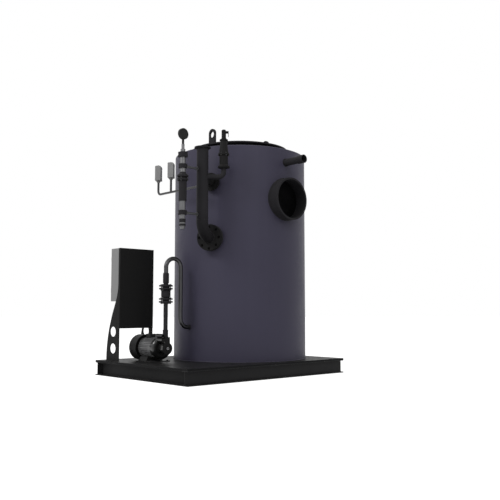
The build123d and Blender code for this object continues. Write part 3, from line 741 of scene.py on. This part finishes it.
class BoilerPaints(PropertyGroup):
    """The finishes' colours."""
    jacket: colour("Jacket", (0.0408, 0.0379, 0.0596), "Slate paint on the boiler's jacket")
    black: colour("Black paint", (0.0202, 0.0196, 0.0215), "Paint on pipes, lid and collars")
    skid: colour("Skid paint", (0.0098, 0.0098, 0.0103), "Paint on the long beams")
    # A darker copy of the skid paint: painted shade on the end beams
    shaded_end_beams: colour("Shaded end beam paint", (0.0056, 0.0056, 0.0059), "Paint on the beams at the skid's ends")
    deck: colour("Deck paint", (0.0085, 0.0085, 0.009), "Paint on the deck plate")
    vessel: colour("Vessel steel", (0.03, 0.029, 0.028), "Sooty steel under the jacket")
    enclosure: colour("Enclosure", (0.19, 0.19, 0.19), "Powder coat on the control enclosure")
    switch: colour("Switch case", (0.182, 0.182, 0.182), "Cases of the pressure switches")
    panel: colour("Panel", (0.0115, 0.0115, 0.0115), "Powder coat on the panel and its legs")
    motor: colour("Motor", (0.12, 0.12, 0.123), "Paint on the pump's motor")
    cowl: colour("Cowl", (0.0185, 0.0185, 0.019), "Paint on the motor's fan cowl and terminal box")
    pump: colour("Pump casting", (0.0065, 0.0065, 0.0067), "Paint on the pump's castings")
    valve: colour("Valve casting", (0.0118, 0.0116, 0.0118), "Paint on valves and fittings")
    gauge: colour("Gauge case", (0.019, 0.019, 0.019), "Case of the pressure gauge")
    dial: colour("Gauge dial", (0.0185, 0.0185, 0.0185), "Dial of the pressure gauge")
    mark: colour("Dial marks", (0.03, 0.03, 0.029), "Marks and needle on the dial")
    bright: colour("Drawn tube", (0.145, 0.145, 0.149), "Bare metal of the small tubes and pump bolts")
    dark_tube: colour("Dark tube", (0.066, 0.066, 0.068), "Dull metal of links, feed loop and studs")
    feed_tube: colour("Feed pipe", (0.0235, 0.0235, 0.0245), "Dull metal of the upright feed pipe")
    polished: colour("Polished steel", (0.36, 0.36, 0.37), "Turned steel of the shaft nut")
    fastener: colour("Fasteners", (0.028, 0.028, 0.028), "Screws, hinges, locks and foot bolts")


class BoilerSizes(PropertyGroup):
    """Sizes of the small parts."""
    weld_size: number("Weld bead", 0.005, "Radius of the larger weld beads")
    edge_rounding: number("Edge rounding", 0.0015, "Rounding on plate and flange edges")
    elbow_bolts: IntProperty(name="Elbow bolts", description="Bolts in the riser's lower flange", default=8)
    elbow_bolt_circle: number("Elbow bolt circle", 0.108, "Radius of the circle that those bolts stand on")
    elbow_bolt_size: number("Elbow bolt size", 0.012, "Shank diameter of those bolts")


class BoilerStage(PropertyGroup):
    """Light and camera."""
    world_strength: number("Sky", 0.85, "Strength of the soft light all round", "NONE")
    key_power: number("Key lamp", 218.0, "Power of the large lamp on the left", "POWER")
    fill_power: number("Fill lamp", 106.0, "Power of the large lamp in front", "POWER")
    lens: number("Lens", 50.0, "Focal length of the camera in millimetres", "CAMERA")


class BOILER_OT_finishes(Operator):
    """Makes every finish and gives the CAD nodes theirs"""
    bl_idname = "boiler.finishes"
    bl_label = "Finishes"

    def execute(self, context):
        GROUPS.update({label: make() for label, make in GROUP_MAKERS.items()})
        MATERIALS.update(make_materials(context.scene.boiler_paints))
        for row in frame["record"]["subparts"]:
            finish = FINISH_OF_NODE.get(row["node"], FINISH_OF_SLOT[row["material_slot"]])
            finish_node(row["node"], MATERIALS[finish], context.scene.boiler_sizes.edge_rounding)
        return {"FINISHED"}


class BOILER_OT_skid(Operator):
    """Rolled corners inside the skid's beams"""
    bl_idname = "boiler.skid"
    bl_label = "Skid"

    def execute(self, context):
        bm = bmesh.new()
        flange = 0.009
        web = 0.003
        root = 0.0035
        for node in ("skid_front_beam", "skid_back_beam", "skid_left_beam", "skid_right_beam"):
            low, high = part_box(node)
            centre = middle(node)
            for z in (low.z + flange + root * 0.5, high.z - flange - root * 0.5):
                for shift in (-web - root * 0.5, web + root * 0.5):
                    if high.x - low.x > high.y - low.y:
                        ends = ((low.x + 0.001, centre.y + shift, z), (high.x - 0.001, centre.y + shift, z))
                    else:
                        ends = ((centre.x + shift, low.y, z), (centre.x + shift, high.y, z))
                    rod(bm, *ends, root, segments=12)
        piece("beam_root_fillets", bm, "skid")
        return {"FINISHED"}


class BOILER_OT_shell(Operator):
    """Welds at the jacket's foot, the lid's neck and the lifting lugs"""
    bl_idname = "boiler.shell"
    bl_label = "Shell and lid"

    def execute(self, context):
        size = context.scene.boiler_sizes.weld_size
        bm = bmesh.new()
        foot = over(SHELL, DECK_TOP + PROUD)
        weld_ring(bm, foot, UP, SHELL_RADIUS + PROUD, pitch=0.003, size=size * 0.8)
        weld_piece("jacket_foot_weld", bm, "jacket weld")
        bm = bmesh.new()
        neck = span("lid_neck").x / 2
        lid_low, lid_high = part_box("lid_plate")
        for z in (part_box("jacket_top")[1].z + PROUD, lid_low.z - PROUD):
            weld_ring(bm, over(SHELL, z), UP, neck + PROUD, pitch=0.003, size=size * 0.8)
        for node in ("lifting_lug_left", "lifting_lug_right"):
            weld_foot(bm, node, lid_high.z, pitch=0.0018, size=size * 0.9)
        weld_piece("lid_welds", bm)
        return {"FINISHED"}


class BOILER_OT_outlets(Operator):
    """Welds of the flue collar and of the vent nozzle with its socket"""
    bl_idname = "boiler.outlets"
    bl_label = "Flue and vent"

    def execute(self, context):
        size = context.scene.boiler_sizes.weld_size
        vent = middle("vent_nozzle")
        vent_radius = span("vent_nozzle").x / 2 + PROUD
        flue_radius = span("flue_collar").x / 2 + PROUD
        bm = bmesh.new()
        weld_saddle(bm, FRONT, middle("flue_collar").z, flue_radius, pitch=0.0025, size=size * 0.8)
        weld_saddle(bm, FRONT, vent.z, vent_radius, pitch=0.002, size=size * 0.8)
        socket_back = Vector((vent.x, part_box("vent_socket")[1].y, vent.z))
        weld_ring(bm, socket_back, FRONT, vent_radius, pitch=0.0015, size=size * 0.45)
        weld_piece("outlet_welds", bm)
        return {"FINISHED"}


class BOILER_OT_riser(Operator):
    """Bolts and welds of the riser and its nozzles"""
    bl_idname = "boiler.riser"
    bl_label = "Riser"

    def execute(self, context):
        sizes = context.scene.boiler_sizes
        flange = middle("riser_flange")
        thick = 0.026
        bend_rise = 0.1524
        nozzle_radius = 0.0455
        face = over(SHELL, flange.z) + RISER_LINE * ((flange - SHELL).xy.length + thick / 2)
        lip = over(RISER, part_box("riser_lip")[0].z)
        bm = bmesh.new()
        bolt_circle(
            bm, face, RISER_LINE, sizes.elbow_bolt_circle, sizes.elbow_bolts, sizes.elbow_bolt_size,
            grip=2 * thick,
        )
        piece("riser_flange_bolts", bm, "dark")
        bm = bmesh.new()
        weld_saddle(bm, RISER_LINE, flange.z, RISER_RADIUS, pitch=0.0022, size=sizes.weld_size)
        weld_saddle(bm, RISER_LINE, middle("upper_nozzle").z, nozzle_radius, pitch=0.0022, size=0.004)
        for step in (0.0015, -2 * thick - 0.0015):
            spot = face + RISER_LINE * step
            weld_ring(bm, spot, RISER_LINE, RISER_RADIUS + PROUD, pitch=0.0016, size=0.004)
        weld_ring(bm, over(RISER, flange.z + bend_rise), UP, RISER_RADIUS, pitch=0.0015, size=0.0022)
        weld_ring(bm, lip, UP, RISER_RADIUS + PROUD, pitch=0.0016, size=0.0035)
        weld_piece("riser_welds", bm)
        return {"FINISHED"}


class BOILER_OT_safety_valve(Operator):
    """Bonnet bolts, lock nut, lever pin and welds of the safety valve"""
    bl_idname = "boiler.safety_valve"
    bl_label = "Safety valve"

    def execute(self, context):
        plate = 0.018
        branch_radius = 0.02415
        branch_weld = 0.025
        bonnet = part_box("safety_valve_bonnet")
        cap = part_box("safety_valve_cap")
        bm = bmesh.new()
        bolt_reach = span("safety_valve_bonnet").x / 2 - 0.0062
        bolt_circle(bm, over(VALVE, bonnet[0].z + plate), UP, bolt_reach, 6, 0.0068, plate, start=0.3)
        piece("bonnet_bolts", bm, "dark tube")
        bm = bmesh.new()
        hex_form(bm, across=0.05, height=0.012, matrix=upright(VALVE, cap[0].z + 0.012))
        half_pin = Vector((1, 1, 0)).normalized() * 0.026
        pin = over(VALVE, cap[1].z - 0.026)
        rod(bm, pin - half_pin, pin + half_pin, radius=0.0038)
        for side in (-1, 1):
            rod(bm, pin + half_pin * side * 0.86, pin + half_pin * side * 0.93, radius=0.0065)
        ring_form(bm, upright(VALVE, bonnet[1].z), 0.032, 0.0412, 0.004, 0.008)
        piece("valve_lever_pin", bm, "valve")
        bm = bmesh.new()
        body_foot = over(VALVE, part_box("safety_valve_body")[0].z)
        weld_ring(bm, body_foot, UP, branch_weld, pitch=0.0014, size=0.0026)
        away = (over(VALVE, 0) - over(RISER, 0)).normalized()
        branch_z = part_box("safety_branch")[0].z + branch_radius
        weld_saddle(
            bm, away, branch_z, branch_weld, pitch=0.0014, size=0.003, centre=RISER, body=RISER_RADIUS
        )
        weld_piece("valve_branch_welds", bm)
        return {"FINISHED"}


class BOILER_OT_water_column(Operator):
    """Fitting bands, union nuts, flange bolts and drain collars of the water column"""
    bl_idname = "boiler.water_column"
    bl_label = "Water column"

    def execute(self, context):
        link_radius = 0.011
        band = 0.006
        fitting_reach = 0.0385
        riser_reach = 0.0565
        drain_drop = 0.061
        low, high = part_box("column_links")
        heights = (high.z - link_radius, low.z + link_radius)
        bands = bmesh.new()
        nuts = bmesh.new()
        for z in heights:
            for edge in (-0.0195, 0.0135):
                ring_form(bands, upright(COLUMN, z), 0.03, 0.0418, edge, edge + band)
            for x, axis in ((COLUMN.x + fitting_reach, RIGHT), (RISER.x - riser_reach, -RIGHT)):
                hex_form(nuts, across=0.034, height=0.013, matrix=placed((x, COLUMN.y, z), axis))
        top = upright(COLUMN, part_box("column_collars")[1].z)
        ring_form(bands, top, 0.03, 0.0464, -band, 0.0004)
        ring_form(bands, top, 0.012, 0.0244, -0.0002, 0.005)
        piece("fitting_bands", bands, "black")
        piece("link_nuts", nuts, "dark tube")
        bm = bmesh.new()
        drain_top = upright(COLUMN, heights[1] - drain_drop)
        ring_form(bm, drain_top, 0.0262, 0.0306, -0.0331, 0.0001)
        ring_form(bm, drain_top, 0.0222, 0.0306, -0.0671, -0.0469)
        piece("drain_sleeves", bm, "black")
        bm = bmesh.new()
        grip = 0.051
        chamber = 0.195
        top_face = over(COLUMN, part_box("column_chamber")[0].z + chamber + grip)
        studs(bm, top_face, radius=0.0463, size=0.0072, grip=grip, start=0.6)
        piece("chamber_bolts", bm, "dark tube")
        return {"FINISHED"}


class BOILER_OT_gauge(Operator):
    """Bezel, dial, marks and needle of the pressure gauge"""
    bl_idname = "boiler.gauge"
    bl_label = "Gauge"

    def execute(self, context):
        low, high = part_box("column_gauge")
        radius = (high.x - low.x) / 2
        thick = 0.022
        centre = Vector((COLUMN.x, COLUMN.y - thick / 2, high.z - radius))
        face = placed(centre, FRONT)
        bm = bmesh.new()
        bezel = radius - 0.0065
        profile = [
            (bezel, 0.0), (radius, 0.0, 0.001), (radius, 0.0035, 0.0015), (radius - 0.003, 0.0055, 0.0015),
            (bezel, 0.0028, 0.0005),
        ]
        turned(bm, profile, face, 96, closed=True)
        ring_form(bm, placed(centre + BACK * thick, BACK), radius - 0.008, radius - 0.002, -0.0004, 0.002)
        piece("gauge_bezel", bm, "gauge")
        bm = bmesh.new()
        disc(bm, face, radius - 0.006, -0.0004, 0.0008, segments=96)
        piece("gauge_dial", bm, "dial")
        bm = bmesh.new()
        end = radius - 0.009
        marks = 31
        for i in range(marks):
            spin = face @ Matrix.Rotation(math.radians(-45 + 270 * i / (marks - 1)), 4, "Z")
            reach, width = (0.0035, 0.0004) if i % 5 else (0.0065, 0.0007)
            block_form(bm, (end - reach, -width, 0.0007), (end, width, 0.0012), spin, 0.0001)
        needle = face @ Matrix.Rotation(math.radians(205), 4, "Z")
        block_form(bm, (-0.01, -0.0009, 0.0014), (radius - 0.015, 0.0009, 0.002), needle, 0.0002)
        disc(bm, face, 0.004, 0.0008, 0.0026, 0.0005, segments=24)
        piece("gauge_marks", bm, "mark")
        return {"FINISHED"}


class BOILER_OT_switches(Operator):
    """Cover plates, screws, adjusters and glands of the pressure switches"""
    bl_idname = "boiler.switches"
    bl_label = "Pressure switches"

    def execute(self, context):
        half_width = 0.0295
        half_depth = 0.046
        height = 0.155
        lip = 0.0012
        cover = half_depth - 0.004
        rim = Vector((half_depth + lip, half_width + lip, 0.004))
        plates = (
            ((-cover, -half_width - 0.0014, 0.006), (cover, -half_width + 0.001, 0.14), 0.001),
            ((-rim.x, -rim.y, 0.0004), rim, 0.0008),
            ((-0.012, -half_width - 0.0026, 0.05), (0.012, -half_width, 0.11), 0.0008),
        )
        covers = bmesh.new()
        screws = bmesh.new()
        for node in ("pressure_switch_near", "pressure_switch_far"):
            turn = Matrix.Rotation(math.radians(45), 4, "Z")
            base = upright(middle(node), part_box(node)[1].z - height) @ turn
            for low, high, rounding in plates:
                block_form(covers, low, high, base, rounding)
            for x in (-half_depth + 0.01, half_depth - 0.01):
                for z in (0.013, 0.132):
                    spot = base @ Vector((x, -half_width - 0.0013, z))
                    screw(screws, placed(spot, base.to_3x3() @ FRONT), 0.006)
            for x in (-0.022, 0.022):
                hex_form(screws, 0.011, 0.006, base @ Matrix.Translation((x, 0, height - 0.0002)))
            gland(screws, base @ Vector((half_depth - 0.0005, 0, 0.035)), base.to_3x3() @ RIGHT, 0.016)
        piece("switch_covers", covers, "switch")
        piece("switch_fittings", screws, "fastener")
        return {"FINISHED"}


class BOILER_OT_control_panel(Operator):
    """Rear door, hinges, lock, side screws and foot welds of the control panel"""
    bl_idname = "boiler.control_panel"
    bl_label = "Control panel"

    def execute(self, context):
        low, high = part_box("panel_enclosure")
        inset = 0.009
        door_low = (low.x + inset, high.y - 0.001, low.z + inset)
        door_high = (high.x - inset, high.y + 0.0025, high.z - inset)
        bm = bmesh.new()
        block_form(bm, door_low, door_high, rounding=0.0012)
        piece("enclosure_door", bm, "enclosure")
        bm = bmesh.new()
        hinge = Vector((low.x + 0.006, high.y + 0.002, 0))
        for z in (low.z + 0.09, high.z - 0.13):
            rod(bm, over(hinge, z), over(hinge, z + 0.045), 0.0045)
        for z in (low.z + 0.12, high.z - 0.12):
            spot = Vector((high.x - 0.028, high.y + 0.0022, z))
            disc(bm, placed(spot, BACK), 0.011, 0, 0.003, 0.001, segments=32)
            block_form(bm, spot + Vector((-0.0015, 0.003, -0.006)), spot + Vector((0.0015, 0.0042, 0.006)))
        for node, end, side in (("panel_leg_left", 0, -1), ("panel_leg_right", 1, 1)):
            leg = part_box(node)
            for z in (low.z + 0.04, (low.z + high.z) / 2, high.z - 0.04):
                screw(bm, placed((leg[end].x, leg[0].y + 0.012, z), RIGHT * side), 0.009)
        piece("panel_fixings", bm, "fastener")
        bm = bmesh.new()
        for node in ("panel_leg_left", "panel_leg_right"):
            weld_foot(bm, node, DECK_TOP, pitch=0.0016, size=0.003)
        weld_piece("panel_foot_welds", bm)
        return {"FINISHED"}


class BOILER_OT_pump(Operator):
    """Shaft nut, flange bolts, cowl lip, grille and painted shade in the gaps of the feed pump"""
    bl_idname = "boiler.pump"
    bl_label = "Feed pump"

    def execute(self, context):
        x = PUMP.x
        z = PUMP.z
        nut = placed((x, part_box("pump_head")[0].y, z), FRONT)
        bm = bmesh.new()
        ring_form(bm, nut, 0.007, 0.0132, -0.0085, 0.0012)
        piece("shaft_nut_ring", bm, "polished")
        stub = middle("pump_suction")
        stub_end = placed((stub.x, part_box("pump_suction")[0].y, stub.z), FRONT)
        cowl_low, cowl_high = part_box("pump_cowl")
        cowl = (cowl_high.x - cowl_low.x) / 2
        mouth = placed((x, cowl_low.y, z), FRONT)
        grille = placed((x, cowl_high.y, z), BACK)
        # Near-black sheets in the nut's bore, at the suction stub's mouth, inside the cowl's mouth and
        # behind the grille: painted shade
        bm = bmesh.new()
        disc(bm, nut, 0.0068, -0.001, 0.0004, segments=24)
        ring_form(bm, stub_end, 0.0143, 0.0193, -0.0004, 0.0006, rounding=0.0001)
        ring_form(bm, stub_end, 0.0139, 0.0144, -0.09, 0.0004, rounding=0.0001)
        ring_form(bm, mouth, 0.09, cowl - 0.0045, -0.0005, 0.001)
        disc(bm, grille, cowl * 0.86, -0.0003, 0.0004)
        piece("pump_gap_shade", bm, "dark")
        bm = bmesh.new()
        wire_ring(bm, mouth, cowl * 0.985, 96, 0.0, 0.0022)
        for step in range(7):
            wire_ring(bm, grille, cowl * (0.16 + 0.116 * step), 72, 0.0008, 0.0016)
        for spoke in circle(cowl, 8):
            ends = [grille @ (spoke * share + UP * 0.001) for share in (0.14, 0.87)]
            rod(bm, *ends, radius=0.0022, segments=12)
        disc(bm, grille, cowl * 0.15, 0, 0.0025, 0.001, segments=48)
        piece("cowl_grille", bm, "cowl")
        low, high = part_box("pump_adapter")
        boss_circle = 0.1035
        bosses = bmesh.new()
        bolts = bmesh.new()
        for i in range(6):
            a = math.radians(168 + 60 * i)
            out = PUMP + Vector((math.cos(a), 0, math.sin(a))) * boss_circle
            end = Vector((out.x, high.y + 0.001, out.z))
            rod(bosses, (out.x, low.y - 0.003, out.z), end, radius=0.0105, rounding=0.0015)
            bolt(bolts, placed(end, BACK, a), size=0.0085)
        piece("adapter_bosses", bosses, "pump")
        piece("adapter_bolts", bolts, "bright")
        return {"FINISHED"}


class BOILER_OT_pump_fittings(Operator):
    """Terminal box lid, gland, screws and foot bolts of the feed pump"""
    bl_idname = "boiler.pump_fittings"
    bl_label = "Pump fittings"

    def execute(self, context):
        low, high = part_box("pump_terminal_box")
        edge = 0.0025
        lid_low = (low.x - edge, low.y - edge, high.z - 0.006)
        lid_high = (high.x + edge, high.y + edge, high.z + 0.002)
        bm = bmesh.new()
        block_form(bm, lid_low, lid_high, rounding=0.0015)
        gland(bm, Vector((high.x - 0.001, (low.y + high.y) / 2, high.z - 0.022)), RIGHT, 0.018)
        piece("terminal_lid", bm, "cowl")
        bm = bmesh.new()
        inset = 0.007
        for x in (low.x + inset, high.x - inset):
            for y in (low.y + inset, high.y - inset):
                screw(bm, Matrix.Translation((x, y, lid_high[2])), 0.0065)
        foot_low, foot_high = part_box("pump_foot")
        for x in (foot_low.x + 0.018, foot_high.x - 0.018):
            for y in (foot_low.y + 0.022, foot_high.y - 0.03):
                bolt(bm, Matrix.Translation((x, y, DECK_TOP + 0.008)), 0.012)
        piece("pump_fixings", bm, "fastener")
        return {"FINISHED"}


class BOILER_OT_feed_line(Operator):
    """Flange bolts, hexagons, bands and the entry weld of the feed line"""
    bl_idname = "boiler.feed_line"
    bl_label = "Feed line"

    def execute(self, context):
        flange = 0.0145
        gap = 0.0135
        pipe_radius = 0.0212
        band = 0.006
        pipe_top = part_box("feed_pipe")[1].z
        union_low, union_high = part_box("feed_union")
        bm = bmesh.new()
        for z in (pipe_top + gap + flange, union_low.z + flange):
            start = math.radians(20)
            studs(bm, over(FEED, z), radius=0.0525, size=0.011, grip=2 * flange + gap, start=start)
        piece("feed_flange_bolts", bm, "dark tube")
        bm = bmesh.new()
        nut_low = union_low.z + flange + 0.0195
        hex_form(bm, 0.0565, union_high.z - nut_low - 0.005, upright(FEED, nut_low), chamfer=0.04)
        ring_form(bm, upright(FEED, union_high.z), 0.0215, 0.0262, -band, 0.0002)
        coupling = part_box("feed_coupling")
        for z, step in ((coupling[0].z, 0.0), (coupling[1].z, -band)):
            ring_form(bm, upright(FEED, z), 0.0222, 0.0285, step, step + band)
        ring_form(bm, upright(FEED, pipe_top - flange), 0.0215, 0.0674, -0.0003, flange + 0.0002)
        piece("feed_fitting_bands", bm, "black")
        bm = bmesh.new()
        entry_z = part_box("feed_loop")[0].z + pipe_radius
        offset = SHELL.y - FEED.y
        weld_saddle(
            bm, -RIGHT, entry_z, pipe_radius + PROUD, pitch=0.0014, size=0.0035, offset=offset
        )
        weld_piece("feed_entry_weld", bm)
        return {"FINISHED"}


class BOILER_OT_stage(Operator):
    """Floor, sky, lamps and camera"""
    bl_idname = "boiler.stage"
    bl_label = "Stage"

    def execute(self, context):
        stage = context.scene.boiler_stage
        make_floor()
        make_sky(stage.world_strength)
        make_lamp("key lamp", (-5.84, 0.56, 5.4), 2.4, stage.key_power)
        make_lamp("fill lamp", (-1.82, -5.74, 5.4), 4.0, stage.fill_power)
        make_camera(stage.lens)
        context.scene.view_settings.view_transform = "Standard"
        return {"FINISHED"}


def seen_straight(tree):
    """One where the ray comes from the camera, off a glossy surface or through clear glass."""
    path = put_node(tree, "LightPath").outputs
    kinds = [(path[kind], 1.0) for kind in ("Is Camera Ray", "Is Glossy Ray", "Is Transmission Ray")]
    return total(tree, 0.0, *kinds, clamp=True)


def make_floor():
    """A wide pale floor that is white to the camera and keeps the boiler's shadow."""
    bm = bmesh.new()
    turned(bm, [(0, 0), (4.0, 0), (12.0, 0), (60.0, 0)], Matrix.Translation((0, 0, -0.0005)), segments=96)
    mesh = bpy.data.meshes.new("floor")
    bm.to_mesh(mesh)
    bm.free()
    floor = bpy.data.objects.new("floor", mesh)
    bpy.context.scene.collection.objects.link(floor)
    material, tree, shader = new_material("Pale floor", 0.0)
    set_shader(
        tree, shader, Base_Color=(0.55, 0.55, 0.55, 1.0), Roughness=0.9, Emission_Color=(1.0, 1.0, 1.0, 1.0),
        Emission_Strength=times(tree, seen_straight(tree), 0.72),
    )
    mesh.materials.append(material)


def make_sky(strength):
    """An even white sky: full white to the camera, softer as light."""
    world = bpy.data.worlds.new("Sky")
    bpy.context.scene.world = world
    world.use_nodes = True
    tree = world.node_tree
    level = ramp(tree, seen_straight(tree), 0.0, 1.0, strength, 1.0)
    set_shader(tree, tree.nodes["Background"], Color=(1.0, 1.0, 1.0, 1.0), Strength=level)


def make_lamp(name, place, size, power):
    """A large soft lamp that faces the boiler."""
    data = bpy.data.lights.new(name, "AREA")
    data.shape = "DISK"
    data.size = size
    data.energy = power
    lamp = bpy.data.objects.new(name, data)
    bpy.context.scene.collection.objects.link(lamp)
    lamp.location = place
    aim = Vector((0.1, 0.0, 1.1)) - Vector(place)
    lamp.rotation_euler = aim.to_track_quat("-Z", "Y").to_euler()


def make_camera(lens):
    """The camera at the photograph's place."""
    data = bpy.data.cameras.new("camera")
    data.lens = lens
    data.sensor_width = 36.0
    data.clip_start = 0.05
    data.clip_end = 200.0
    camera = bpy.data.objects.new("camera", data)
    bpy.context.scene.collection.objects.link(camera)
    tilt = 4.95297
    heading = -42.61819
    camera.location = (-4.7287, -5.5725, 0.6566)
    camera.rotation_euler = (math.radians(90 + tilt), 0.0, math.radians(heading))
    bpy.context.scene.camera = camera


class BOILER_PT_panel(Panel):
    """The boiler's settings and steps in the sidebar"""
    bl_label = "Boiler"
    bl_idname = "BOILER_PT_panel"
    bl_space_type = "VIEW_3D"
    bl_region_type = "UI"
    bl_category = "Boiler"

    def draw(self, context):
        for label in SETTINGS:
            settings = getattr(context.scene, label)
            box = self.layout.box()
            for setting in settings.__annotations__:
                box.prop(settings, setting)
        for step in STEPS:
            self.layout.operator(step.bl_idname)


STEPS = (
    BOILER_OT_finishes, BOILER_OT_skid, BOILER_OT_shell, BOILER_OT_outlets, BOILER_OT_riser,
    BOILER_OT_safety_valve, BOILER_OT_water_column, BOILER_OT_gauge, BOILER_OT_switches,
    BOILER_OT_control_panel, BOILER_OT_pump, BOILER_OT_pump_fittings, BOILER_OT_feed_line, BOILER_OT_stage,
)
SETTINGS = {"boiler_paints": BoilerPaints, "boiler_sizes": BoilerSizes, "boiler_stage": BoilerStage}


def register():
    """Registers the settings, the steps and the panel."""
    for label, group in SETTINGS.items():
        bpy.utils.register_class(group)
        setattr(bpy.types.Scene, label, PointerProperty(type=group))
    for step in (*STEPS, BOILER_PT_panel):
        bpy.utils.register_class(step)


def unregister():
    """Takes the panel, the steps and the settings away again."""
    for step in (BOILER_PT_panel, *reversed(STEPS)):
        bpy.utils.unregister_class(step)
    for label, group in SETTINGS.items():
        delattr(bpy.types.Scene, label)
        bpy.utils.unregister_class(group)


def main():
    """Builds everything in order."""
    register()
    for step in STEPS:
        group, call = step.bl_idname.split(".")
        getattr(getattr(bpy.ops, group), call)()


if __name__ == "__main__":
    main()
